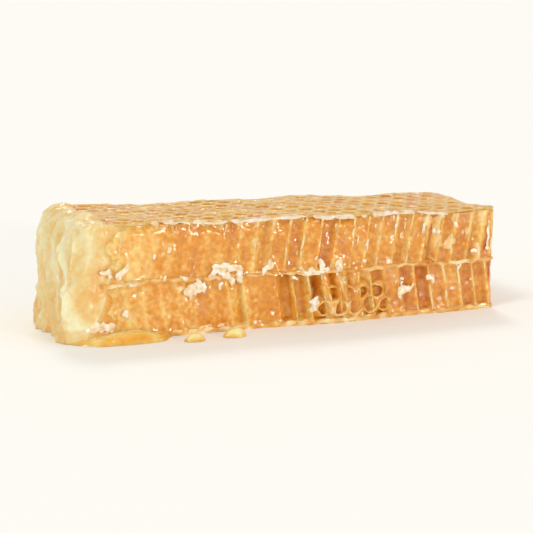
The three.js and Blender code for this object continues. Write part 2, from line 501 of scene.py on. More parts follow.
@dataclass(frozen=True)
class Finish:
    """A soft, light-scattering food finish: three colours, mottling, gloss and how far light goes in."""

    name: str
    deep: str
    middle: str
    pale: str
    mottle_mm: float = 1.6
    mottle: float = 0.1
    cloud_mm: float = 9.0
    cloud: float = 0.14
    streak_mm: float = 1.3
    streak: float = 0.0
    bubble_mm: float = 4.5
    bubble: float = 0.0
    roughness: float = 0.35
    coat: float = 0.4
    coat_roughness: float = 0.08
    scatter: float = 0.6
    scatter_mm: float = 1.5
    spread: tuple[float, float, float] = (1.0, 0.55, 0.22)
    ior: float = 1.44
    bump_mm: float = 0.7
    bump: float = 0.2
    coat_ior: float = 1.48
    film_mm: float = 1.8
    film: float = 0.3
    upright_squeeze: float = 0.16
    noise_middle: tuple[float, float] = (0.3, 0.7)
    bubble_rim: tuple[float, float] = (0.12, 0.2)

    def build(self) -> Material:
        """Makes the material from the piece's own tone, mottling of several sizes and a fine bump.

        Returns:
            The material.
        """
        material = bpy.data.materials.new(self.name)
        material.use_nodes = True
        tree = material.node_tree
        tree.nodes.clear()
        place = add_node(tree, "ShaderNodeTexCoord").outputs["Object"]
        squeeze = {"Scale": (1.0, 1.0, self.upright_squeeze)}
        upright = add_node(tree, "ShaderNodeMapping", squeeze, Vector=place).outputs["Vector"]
        tone = add_node(tree, "ShaderNodeAttribute", {"attribute_name": "tone"}).outputs["Fac"]
        tone = self.lumps(tree, place, self.mottle_mm, self.mottle, tone)
        tone = self.lumps(tree, place, self.cloud_mm, self.cloud, tone)
        if self.streak:
            tone = self.lumps(tree, upright, self.streak_mm, self.streak, tone)
        if self.bubble:
            tone = self.bubbles(tree, place, tone)
        ramp = add_node(tree, "ShaderNodeValToRGB", Fac=tone)
        stops = ramp.color_ramp.elements
        stops[0].color = linear(self.deep)
        stops[1].color = linear(self.pale)
        stops.new(0.5).color = linear(self.middle)
        shader = add_node(
            tree,
            "ShaderNodeBsdfPrincipled",
            {
                "Roughness": self.roughness,
                "IOR": self.ior,
                "Subsurface Weight": self.scatter,
                "Subsurface Radius": self.spread,
                "Subsurface Scale": self.scatter_mm * MM,
                "Coat Weight": self.coat,
                "Coat Roughness": self.coat_roughness,
                "Coat IOR": self.coat_ior,
            },
            Base_Color=ramp.outputs["Color"],
            Normal=uneven_normal(tree, place, self.bump_mm, self.bump, self.bump_mm),
            Coat_Normal=uneven_normal(tree, place, self.film_mm, self.film, self.film_mm),
        )
        add_node(tree, "ShaderNodeOutputMaterial", Surface=shader.outputs["BSDF"])
        return material

    def lumps(
        self,
        tree: NodeTree,
        place: NodeSocket,
        size_mm: float,
        amount: float,
        tone: NodeSocket,
    ) -> NodeSocket:
        """Adds noise of one size to a tone.

        Args:
            tree: The material's tree.
            place: The coordinates.
            size_mm: Size of the noise's lumps.
            amount: How far it moves the tone each way.
            tone: The tone to add it to.

        Returns:
            The new tone.
        """
        scale = {"Scale": 1 / (size_mm * MM), "Detail": 3.0}
        noisy = add_node(tree, "ShaderNodeTexNoise", scale, Vector=place)
        return add_to_tone(tree, tone, noisy.outputs["Fac"], self.noise_middle, (-amount, amount))

    def bubbles(
        self, tree: NodeTree, place: NodeSocket, tone: NodeSocket
    ) -> NodeSocket:
        """Adds the pale dots of small air bubbles to a tone.

        Args:
            tree: The material's tree.
            place: The coordinates.
            tone: The tone to add them to.

        Returns:
            The new tone.
        """
        dots = add_node(tree, "ShaderNodeTexVoronoi", {"Scale": 1 / (self.bubble_mm * MM)}, Vector=place)
        return add_to_tone(tree, tone, dots.outputs["Distance"], self.bubble_rim, (self.bubble, 0.0))


# Ripe honey held in cut cells: clear amber, wet, and lit from within
CELL_HONEY = Finish(
    "honey_held_in_cut_cells",
    deep="cb7002",
    middle="e9a024",
    pale="fbdc8a",
    roughness=0.12,
    coat=1.0,
    coat_roughness=0.045,
    scatter=0.8,
    mottle_mm=1.5,
    mottle=0.18,
    cloud_mm=6.0,
    streak=0.04,
    bubble_mm=3.6,
    bubble=0.24,
    bump_mm=1.1,
    bump=0.12,
    film_mm=2.4,
    film=0.65,
)
# Beeswax cell walls wet with honey: thin, pale yellow and see-through at their cut edges
WALL_WAX = Finish(
    "beeswax_cell_walls_wet_with_honey",
    deep="cc7a10",
    middle="ecaa44",
    pale="fce6ac",
    roughness=0.25,
    coat=0.9,
    scatter=0.15,
    scatter_mm=0.3,
    spread=(1.0, 0.8, 0.5),
    mottle_mm=0.9,
    mottle=0.12,
)
# Beeswax cappings, built by bees: golden, satin, with honey showing through from below
CAPPING_WAX = Finish(
    "beeswax_cappings",
    deep="c8780e",
    middle="d89a34",
    pale="e8c274",
    roughness=0.4,
    coat=0.4,
    scatter=0.2,
    scatter_mm=0.4,
    spread=(1.0, 0.75, 0.45),
    mottle_mm=1.0,
    cloud_mm=11.0,
)
# Soft beeswax smeared by the knife: pale yellow, smooth, wet with honey
SMEARED_WAX = Finish(
    "smeared_beeswax",
    deep="eba338",
    middle="edd08b",
    pale="f5eec4",
    roughness=0.35,
    coat=0.5,
    coat_roughness=0.22,
    scatter=0.25,
    scatter_mm=0.4,
    spread=(1.0, 0.85, 0.6),
    mottle_mm=1.4,
    mottle=0.13,
    cloud_mm=8.0,
    cloud=0.12,
    streak_mm=2.2,
    streak=0.08,
    bump=0.1,
    film_mm=4.5,
    film=0.22,
)
# Torn dry beeswax: nearly white where it tore; the same finish makes the painted highlights, thin white
# strokes where wet edges glint
TORN_WAX_AND_GLINTS = Finish(
    "torn_beeswax_and_painted_glints",
    deep="ecc080",
    middle="f9e6c4",
    pale="fff9ec",
    roughness=0.45,
    scatter=0.1,
    scatter_mm=0.2,
    mottle_mm=0.8,
    mottle=0.2,
)
# The cappings' cut rim: thin wax with air in it, a cool off-white
RIM_WAX = Finish(
    "cut_rim_of_aerated_beeswax",
    deep="e0ad68",
    middle="ecd6b4",
    pale="f6ece0",
    roughness=0.45,
    scatter=0.1,
    scatter_mm=0.2,
    mottle_mm=0.8,
    mottle=0.25,
)
# Honey that has run out: clear gold, thick enough to glow, with a round wet edge
RUN_HONEY = Finish(
    "run_honey",
    deep="e6951a",
    middle="f7c050",
    pale="ffedb0",
    roughness=0.06,
    coat=1.0,
    coat_roughness=0.02,
    scatter=1.0,
    scatter_mm=0.9,
    spread=(1.0, 0.8, 0.4),
    ior=1.49,
    bump=0.0,
    mottle=0.05,
    cloud_mm=4.5,
    cloud=0.3,
    bubble_mm=3.0,
    bubble=0.3,
    film_mm=3.5,
    film=0.6,
)


def publish(name: str, mesh: BMesh, finish: Finish, rounds: int = 0) -> Object:
    """Turns a finished bmesh, already in metres, into a piece of the strip.

    Args:
        name: The piece's name.
        mesh: Its mesh, which is freed.
        finish: What it is made of.
        rounds: How often a subdivision surface rounds it.

    Returns:
        The piece.
    """
    bmesh.ops.recalc_face_normals(mesh, faces=mesh.faces[:])
    for face in mesh.faces:
        face.smooth = True
    for edge in mesh.edges:
        edge.smooth = edge.calc_face_angle(0.0) < SHARP
    data = bpy.data.meshes.new(name)
    mesh.to_mesh(data)
    mesh.free()
    piece = bpy.data.objects.new(name, data)
    bpy.context.scene.collection.objects.link(piece)
    data.materials.append(bpy.data.materials.get(finish.name) or finish.build())
    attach(piece, BODY)
    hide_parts(NODE)
    if rounds:
        rounding = piece.modifiers.new("rounding", "SUBSURF")
        rounding.levels = rounds
        rounding.render_levels = rounds
    log.info("%s: %d faces", name, len(data.polygons))
    return piece


def distance(at: Vector, start: Vector, end: Vector) -> float:
    """Finds how far a point lies from a straight stretch.

    Args:
        at: The point.
        start: Where the stretch begins.
        end: Where it ends.

    Returns:
        The distance.
    """
    way = end - start
    share = clamp((at - start).dot(way) / max(way.length_squared, 1e-9))
    return (at - start - way * share).length


def everything(mesh: BMesh) -> list:
    """Returns all vertices, edges and faces of a mesh."""
    return [*mesh.verts, *mesh.edges, *mesh.faces]


def only(kind: type, parts: list) -> list:
    """Returns those parts of a mesh that are of one kind."""
    return [part for part in parts if isinstance(part, kind)]


def add_cell(mesh: BMesh, x: float, y: float, z: float) -> None:
    """Adds the flat six-sided face of one cell."""
    place = Matrix.Translation((x, y, z))
    bmesh.ops.create_circle(mesh, cap_ends=True, segments=6, radius=COMB.cell_radius, matrix=place)


def add_grid(
    mesh: BMesh, middle: float, size: tuple[float, float], squares: tuple[int, int]
) -> list[BMVert]:
    """Adds a flat grid.

    Args:
        mesh: The mesh to add it to.
        middle: Its middle along X.
        size: Its whole size along X and Y.
        squares: How many squares it has along each.

    Returns:
        Its vertices.
    """
    place = Matrix.Translation((middle, 0, 0)) @ Matrix.Diagonal((*size, 1, 1))
    across, along = squares
    made = bmesh.ops.create_grid(mesh, x_segments=across, y_segments=along, size=0.5, matrix=place)
    return made["verts"]


def draw_out(mesh: BMesh, edges: list) -> tuple[list, list]:
    """Draws new faces out of edges, and returns the new vertices and the new edges."""
    drawn = bmesh.ops.extrude_edge_only(mesh, edges=edges)["geom"]
    return only(BMVert, drawn), only(BMEdge, drawn)


def draw_up(mesh: BMesh, rise: float, cuts: int) -> None:
    """Draws a flat sheet up into a closed slab.

    Args:
        mesh: The mesh that holds the sheet alone.
        rise: How high the slab is.
        cuts: How many cuts its sides get.
    """
    drawn = bmesh.ops.extrude_face_region(mesh, geom=mesh.faces[:])["geom"]
    bmesh.ops.translate(mesh, verts=only(BMVert, drawn), vec=Vector((0, 0, rise)))
    upright = [e for e in mesh.edges if abs(e.verts[0].co.z - e.verts[1].co.z) > rise / 2]
    bmesh.ops.subdivide_edges(mesh, edges=upright, cuts=cuts, use_grid_fill=True)


def slice_off(mesh: BMesh, at: Vector, out: Vector, close: bool) -> None:
    """Cuts off all that lies beyond a plane.

    Args:
        mesh: The mesh to cut.
        at: A point of the plane.
        out: The way out of what is kept.
        close: Whether the cut is filled.
    """
    cut = bmesh.ops.bisect_plane(
        mesh, geom=everything(mesh), dist=1e-4, plane_co=at, plane_no=out, clear_outer=True
    )
    if close:
        bmesh.ops.holes_fill(mesh, edges=only(BMEdge, cut["geom_cut"]), sides=0)


def trim_to_outline(mesh: BMesh, left: float, close: bool) -> None:
    """Cuts a mesh of the straight strip to its plan.

    Args:
        mesh: The mesh to cut.
        left: Where the left end is cut.
        close: Whether the cuts are filled.
    """
    x, y = STRIP.half_length, STRIP.half_depth
    chamfered = x - STRIP.right_radius * 0.45
    cuts = (
        ((0, -y), (0, -1)),
        ((0, y), (0, 1)),
        ((x, 0), (1, 0)),
        ((left, 0), (-1, 0)),
        ((chamfered, -y), (1, -1)),
        ((chamfered, y), (1, 1)),
    )
    for at, out in cuts:
        slice_off(mesh, Vector((*at, 0)), Vector((*out, 0)), close)


@dataclass
class HoneyFill:
    """The honey in the comb: one body whose sides stand back between the cell walls."""

    points: int = 960
    levels: int = 84
    bottom: float = 0.8
    top: float = 33.1
    film: float = 0.12
    end_film: float = 0.22
    filled: float = 0.3
    side: float = 0.75
    opened: float = 1.15
    own_share: tuple[float, float] = (0.55, 0.9)
    opening: tuple[float, float] = (-26.0, -4.0)
    opening_stray: Rough = Rough(5.0, 9.0)
    back_opening: tuple[float, float] = (-62.0, -50.0)
    under_smear: tuple[float, float] = (-50.0, -57.0)
    hollow: float = 4.6
    hollow_start: float = -19.0
    hollow_end: float = 38.0
    start_fade: float = 3.0
    end_fade: float = 4.0
    emptied_share: tuple[float, float] = (0.35, 0.65)
    meniscus: float = 1.5
    midrib_half: float = 0.5
    capping: float = 1.2
    seen_through: float = 1.6
    wall_left: float = 0.4
    drips: Rough = Rough(0.2, 1.7, (1.0, 1.0, 0.8))
    swells: Rough = Rough(0.45, 4.2)
    brow: float = 0.9
    brow_height: float = 4.0
    ridge_width: tuple[float, float] = (0.1, 1.5)
    tone: float = 0.47
    ridge_tone: float = 0.4
    cell_tone: float = 0.26
    # Painted shade: how much darker the honey is made for each millimetre it stands back
    recess_painted_shade: float = 0.05
    wash_stray: Rough = Rough(4.0, 7.0)
    end_wash: tuple[float, float] = (-66.0, -42.0)
    # Painted light: the foot is made paler as if lit from below, and the right end's top as if glowing
    foot_painted_light: tuple[float, float] = (-40.0, 0.0)
    right_painted_glow: tuple[float, float] = (50.0, 68.0)
    top_painted_glow: tuple[float, float] = (22.0, 32.0)
    deepening: tuple[float, float] = (-40.0, -5.0)

    def drain(self, p: Vector, out: Vector, cell: Cell) -> float:
        """Finds how far the honey stands back in a cell.

        Args:
            p: A point of the straight strip's side.
            out: The way out from it.
            cell: The cell it is in.

        Returns:
            The depth in millimetres.
        """
        own = self.own_share[0] + self.own_share[1] * cell.draw(1)
        if out.x < -FACING:
            return self.film
        if out.x > FACING:
            return self.end_film * own
        if out.y > 0:
            return self.side * own * ease(*self.back_opening, p.x)
        opening = ease(*self.opening, p.x + self.opening_stray.at(p.x, 0, p.z))
        depth = self.filled + (self.opened - self.filled) * opening * own
        if cell.layer is Layer.LOWER:
            start, end = self.hollow_start, self.hollow_end
            share = ease(start - self.start_fade, start + self.start_fade, p.x)
            share *= ease(end + self.end_fade, end - self.end_fade, p.x)
            emptied = self.emptied_share[0] + self.emptied_share[1] * cell.draw(2)
            depth += (self.hollow - depth) * share * emptied
        return depth

    def recess(self, p: Vector, out: Vector) -> tuple[float, float]:
        """Finds where the honey's surface is at a side.

        Args:
            p: A point of the straight strip's side.
            out: The way out from it.

        Returns:
            How far the honey stands back, and its tone from 0, deep, to 1, pale, which holds painted shade
            where the honey stands far back and painted light at the foot and the right end's top.
        """
        layer = Layer.UPPER if p.z > COMB.midrib_height else Layer.LOWER
        from_midrib = abs(p.z - COMB.midrib_height) - self.midrib_half
        slab = min(from_midrib, p.z - self.capping, STRIP.height - self.capping - p.z)
        x, y = COMB.into_lattice(p)
        wall, cell = COMB.nearest(layer, x, y)
        drain = self.drain(p, out, cell)
        climb = ease(0.0, self.meniscus, max(0.0, min(wall, slab)))
        climb += (1 - climb) * ease(*self.under_smear, p.x)
        depth = drain * climb
        if depth > self.seen_through:
            depth = min(depth, self.wall_left + COMB.to_wall(layer, x, y, -out, self.hollow))
        drips = self.drips.at(*p) + self.swells.at(*p)
        brow = self.brow * ease(STRIP.height - self.brow_height, STRIP.height, p.z)
        ridge = 1 - ease(*self.ridge_width, wall)
        open_share = clamp(drain)
        tone = self.tone + self.ridge_tone * ridge * (0.12 + 0.88 * open_share)
        tone += self.cell_tone * (cell.draw(4) - 0.5) * open_share
        # Painted shade: the further the honey stands back, the darker it is made
        tone -= self.recess_painted_shade * clamp(depth - 0.8, 0, 4)
        return depth + drips + brow, tone + self.wash(p)

    def wash(self, p: Vector) -> float:
        """Returns how much paler the honey is: where smeared wax covers the left end, where painted light
        from below falls on the foot, and where a painted glow lights the right end's top.
        """
        end = 1 - ease(*self.end_wash, p.x + self.wash_stray.at(*p))
        foot = (1 - p.z / STRIP.height) * (1 - ease(*self.foot_painted_light, p.x))
        painted_glow = ease(*self.right_painted_glow, p.x) * ease(*self.top_painted_glow, p.z)
        # Painted light: the foot is made paler as if lit from below, and the right end's top as if glowing
        # with light from behind
        return 0.34 * end + 0.12 * foot + 0.2 * painted_glow - 0.07 * ease(*self.deepening, p.x)

    def build(self) -> Object:
        """Draws the outline upwards in fine steps and lets each point stand back.

        Returns:
            The piece.
        """
        mesh = bmesh.new()
        share = mesh.verts.layers.float.new("share")
        tone = mesh.verts.layers.float.new("tone")
        ring = bmesh.ops.create_circle(mesh, cap_ends=False, segments=self.points, radius=1)["verts"]
        for i, vertex in enumerate(ring):
            vertex[share] = i / self.points
            vertex.co.z = self.bottom
        edges = mesh.edges[:]
        first = edges
        rise = Vector((0, 0, (self.top - self.bottom) / self.levels))
        for _ in range(self.levels):
            raised, edges = draw_out(mesh, edges)
            bmesh.ops.translate(mesh, verts=raised, vec=rise)
        bmesh.ops.holes_fill(mesh, edges=[*first, *edges], sides=0)
        for vertex in mesh.verts:
            place, way = STRIP.outline(vertex[share])
            p = Vector((place.x, place.y, vertex.co.z))
            out = Vector((way.x, way.y, 0))
            depth, vertex[tone] = self.recess(p, out)
            p -= out * depth
            p.z *= STRIP.top_at(p.x) / STRIP.height
            vertex.co = placed(p)
        return publish("honey_in_cells", mesh, CELL_HONEY)


@dataclass
class WaxWalls:
    """The thin walls of the cells near the cuts, whose edges stand out of the honey as pale ridges."""

    thickness: float = 0.75
    bottom: float = 0.8
    top: float = 33.2
    cuts: int = 24
    rows_deep: float = 1.6
    smear_cover: float = 7.0
    smeared: tuple[float, float] = (-28.0, -6.0)
    smeared_stray: Rough = Rough(6.0, 8.0)
    deep_smear: tuple[float, float] = (-42.0, -52.0)
    buried: float = 0.6
    buried_deep: float = 1.5
    front_torn: Rough = Rough(0.5, 2.2, (1.5, 1.5, 0.6))
    end_torn: Rough = Rough(0.5, 2.2, (1.0, 1.5, 1.0))
    proud: float = 0.2
    broken: float = 1.3
    broken_patches: Rough = Rough(1.6, 3.2)
    bend: Rough = Rough(0.45, 5.0)
    tones: tuple[Rough, Rough] = (Rough(0.3, 3.0), Rough(0.35, 8.0, (1.0, 1.0, 0.5)))

    def near_cut(self, cell: Cell, height: float) -> bool:
        """Returns whether a cell lies near a cut, so that its walls may show."""
        x = cell.x + COMB.leaning(height) / 2
        deep = self.rows_deep * COMB.pitch
        in_x, in_y = STRIP.half_length - abs(x), STRIP.half_depth - abs(cell.y)
        return min(in_x, in_y) < deep and min(in_x, in_y) > -COMB.pitch

    def bury(self, p: Vector) -> float:
        """Finds how far a wall's cut edge lies under the strip's side.

        Args:
            p: A point of the cut edge.

        Returns:
            The depth in millimetres: more where honey has smeared over it, less where it stands clear.
        """
        rough = abs(self.front_torn.at(*p))
        if p.y < 0 and p.x < STRIP.half_length - 3:
            smeared = 1 - ease(*self.smeared, p.x + self.smeared_stray.at(p.x, 5.0, p.z))
            depth = self.buried * smeared - self.proud * (1 - smeared) + rough * (1 - smeared * 0.6)
            depth += self.buried_deep * ease(*self.deep_smear, p.x)
            if p.z < COMB.midrib_height - 1 and HoneyFill.hollow_start < p.x < HoneyFill.hollow_end:
                depth += self.broken * clamp(0.4 + self.broken_patches.at(*p))
            return depth
        return rough - self.proud

    def build(self, layer: Layer) -> Object:
        """Insets and draws up the lattice of one layer, and cuts it to the strip's plan.

        Args:
            layer: The layer of cells.

        Returns:
            The piece.
        """
        upper = layer is Layer.UPPER
        low, high = (COMB.midrib_height, self.top) if upper else (self.bottom, COMB.midrib_height)
        mesh = bmesh.new()
        for cell in COMB.cells(layer):
            if self.near_cut(cell, high if upper else low):
                add_cell(mesh, cell.x, cell.y, low)
        bmesh.ops.remove_doubles(mesh, verts=mesh.verts[:], dist=0.01)
        hollows = mesh.faces[:]
        bmesh.ops.inset_individual(mesh, faces=hollows, thickness=self.thickness / 2)
        bmesh.ops.delete(mesh, geom=hollows, context="FACES")
        draw_up(mesh, high - low, self.cuts)
        for vertex in mesh.verts:
            x, y = COMB.into_strip(vertex.co.x, vertex.co.y)
            bend = self.bend.at(x, y, vertex.co.z + 40 * layer.value)
            vertex.co = Vector((x + COMB.leaning(vertex.co.z) + bend, y + bend, vertex.co.z))
        trim_to_outline(mesh, -STRIP.half_length + self.smear_cover, True)
        tone = mesh.verts.layers.float.new("tone")
        x_edge, y_edge = STRIP.half_length - 0.04, STRIP.half_depth - 0.02
        for vertex in mesh.verts:
            p = vertex.co.copy()
            depth = self.bury(p)
            if abs(p.y) > y_edge:
                p.y -= math.copysign(depth, p.y)
            if p.x > x_edge:
                p.x -= 0.1 + abs(self.end_torn.at(*p))
            inside = min(STRIP.half_depth - abs(vertex.co.y), STRIP.half_length - vertex.co.x)
            fine, wide = self.tones
            vertex[tone] = 0.75 - 0.45 * ease(0.0, 1.6, inside) + fine.at(*p)
            vertex[tone] += wide.at(*p)
            vertex.co = placed(p)
        return publish(f"{layer.name.lower()}_cell_walls", mesh, WALL_WAX)


@dataclass
class Slab:
    """A wax sheet that runs through the whole comb and shows as a pale line along the cuts."""

    name: str
    low: float
    high: float
    proud: float
    zigzag: float
    scallop: float
    bulge: float = 0.45
    step: float = 0.7
    left: float = -62.5
    end_sunk: float = 2.5
    end_sinks: tuple[float, float] = (-54.0, -58.5)
    waves: Rough = Rough(0.35, 3.5)
    ragged: tuple[Rough, Rough] = (Rough(0.3, 1.6), Rough(0.6, 6.0))
    sway: Rough = Rough(0.3, 7.0)
    tones: tuple[Rough, Rough] = (Rough(0.5, 2.5), Rough(0.35, 9.0))

    def build(self) -> Object:
        """Makes a fine grid, gives it its wall, and lets its edge stand out unevenly.

        Returns:
            The piece.
        """
        right = STRIP.half_length
        width, depth = right - self.left, STRIP.depth
        mesh = bmesh.new()
        tone = mesh.verts.layers.float.new("tone")
        squares = (round(width / self.step), round(depth / self.step))
        add_grid(mesh, (self.left + right) / 2, (width, depth), squares)
        draw_up(mesh, 1.0, 2)
        for vertex in mesh.verts:
            p = vertex.co.copy()
            share = p.z
            scallop = self.scallop * math.sin(2 * math.pi * (p.x + 0.3 * p.y) / COMB.pitch)
            p.z = self.low + (self.high - self.low + self.waves.at(p.x, p.y, 13.0) + scallop) * share
            fine, wide = self.ragged
            ragged = self.proud + scallop + fine.at(p.x, p.y, 0.0) + wide.at(p.x, p.y, 7.0)
            sunk = self.end_sunk * ease(*self.end_sinks, p.x)
            ragged -= self.bulge * (1 - math.sin(math.pi * share)) + sunk
            at_side = abs(p.y) > STRIP.half_depth - AT_SIDE
            if at_side:
                p.y += math.copysign(ragged, p.y)
            if p.x > right - AT_SIDE:
                p.x += ragged * 0.6
                p.y -= math.copysign(1.2, p.y) * at_side
            if self.zigzag:
                p.z += self.zigzag * self.lift(p) + self.sway.at(p.x, p.y, 21.0)
            fine, wide = self.tones
            vertex[tone] = 0.58 + fine.at(*p) + wide.at(*p)
            vertex.co = placed(p)
        return publish(self.name, mesh, WALL_WAX)

    def lift(self, p: Vector) -> float:
        """Returns how the pointed cell floors push the sheet up or down at a point, from -1 to 1."""
        x, y = COMB.into_lattice(Vector((p.x, p.y, COMB.midrib_height)))
        upper = COMB.nearest(Layer.UPPER, x, y)[0]
        lower = COMB.nearest(Layer.LOWER, x, y)[0]
        return (lower - upper) / (COMB.pitch / 2)


def sink(
    mesh: BMesh,
    face: BMFace,
    tone: object,
    rings: list[tuple[float, float, float]],
    bulge: float,
) -> None:
    """Insets a face in rings that go down or up, as a cell's rim, capping or mouth does.

    Args:
        mesh: The mesh that the face is in.
        face: The face.
        tone: The layer that holds how pale each point is.
        rings: For each ring, how far in it lies, how far it rises, and how pale it is.
        bulge: How far the very middle rises above the last ring.
    """
    for inset, rise, pale in rings:
        size = math.sqrt(face.calc_area())
        bmesh.ops.inset_individual(mesh, faces=[face], thickness=min(inset, size * 0.16), depth=rise)
        for vertex in face.verts:
            vertex[tone] = pale
    for vertex in bmesh.ops.poke(mesh, faces=[face])["verts"]:
        vertex[tone] = rings[-1][2]
        vertex.co.z += bulge


@dataclass
class TopCappings:
    """The capped upper face: a rim round each cell, dished cappings, and open cells full of honey."""

    rim: float = 0.55
    bevel: float = 0.55
    dish: float = 0.75
    dome: float = 0.35
    open_depth: float = 1.9
    open_share: float = 0.14
    open_front: float = 27.0
    front_open_share: float = 0.7
    front_rows: float = 1.6
    whole_cell: float = 0.4
    shading: float = 0.34
    thickness: float = 1.5
    left: float = -63.0
    least_cell: float = 1.5
    rough: tuple[Rough, Rough] = (Rough(0.22, 1.4), Rough(0.3, 4.5))
    side_dips: Rough = Rough(0.3, 2.6)
    mottling: Rough = Rough(0.35, 2.0)

    def build(self) -> Object:
        """Insets each cell of the lattice in rings, sinks them, and closes the sheet below.

        Returns:
            The piece.
        """
        mesh = bmesh.new()
        lean = COMB.leaning(STRIP.height)
        for cell in COMB.cells(Layer.UPPER):
            add_cell(mesh, cell.x, cell.y, STRIP.height)
        bmesh.ops.remove_doubles(mesh, verts=mesh.verts[:], dist=0.01)
        for vertex in mesh.verts:
            x, y = COMB.into_strip(vertex.co.x, vertex.co.y)
            vertex.co.x, vertex.co.y = x + lean, y
        trim_to_outline(mesh, self.left, False)
        bmesh.ops.subdivide_edges(mesh, edges=mesh.edges[:], cuts=1)
        tone = mesh.verts.layers.float.new("tone")
        cells = [face for face in mesh.faces if face.calc_area() > self.least_cell]
        for face in cells:
            self.cap(mesh, face, tone)
        rim_edges = [edge for edge in mesh.edges if edge.is_boundary]
        lowered, low_edges = draw_out(mesh, rim_edges)
        bmesh.ops.translate(mesh, verts=lowered, vec=Vector((0, 0, -self.thickness)))
        bmesh.ops.holes_fill(mesh, edges=low_edges, sides=0)
        for vertex in mesh.verts:
            p = vertex.co.copy()
            fine, wide = self.rough
            rough = fine.at(*p) + wide.at(*p)
            at_side = abs(p.y) > STRIP.half_depth - AT_SIDE or p.x > STRIP.half_length - AT_SIDE
            if at_side:
                p.y -= math.copysign(0.3 - 2.0 * rough, p.y)
                p.z -= 0.35 + self.side_dips.at(p.x, p.y, 3.0)
            p.z += rough * (0.7 if at_side else 1.0)
            vertex[tone] += self.mottling.at(*p)
            vertex.co = placed(p)
        return publish("top_cappings", mesh, CAPPING_WAX, 1)

    def cap(self, mesh: BMesh, face: BMFace, tone: object) -> None:
        """Sinks one cell's face into a capping or an open cell.

        Args:
            mesh: The sheet.
            face: The cell's face.
            tone: The layer that holds how pale each point is.
        """
        middle = face.calc_center_median()
        column, row = round(middle.x * 3), round(middle.y * 3)
        draw = chance(column, row, 5)
        room = min(STRIP.half_length - abs(middle.x), STRIP.half_depth - abs(middle.y))
        front_edge = -STRIP.half_depth + self.front_rows * COMB.pitch
        at_front = middle.y < front_edge and abs(middle.x) < self.open_front
        likely = self.front_open_share if at_front else self.open_share
        opened = draw < likely and room > self.whole_cell * COMB.pitch
        own = 0.7 + 0.6 * chance(column, row, 11)
        shade = self.shading * (chance(column, row, 17) - 0.5)
        for vertex in face.verts:
            vertex[tone] = 0.85
        rings = (
            [(self.rim, 0.0, 0.9), (self.bevel, -self.open_depth * own, 0.1), (0.5, -0.15, 0.02)]
            if opened
            else [
                (self.rim, 0.05, 0.85 + shade * 0.3),
                (self.bevel, -self.dish * own, 0.5 + shade),
                (0.6, self.dome * own, 0.58 + shade),
            ]
        )
        sink(mesh, face, tone, rings, 0.0 if opened else 0.12)


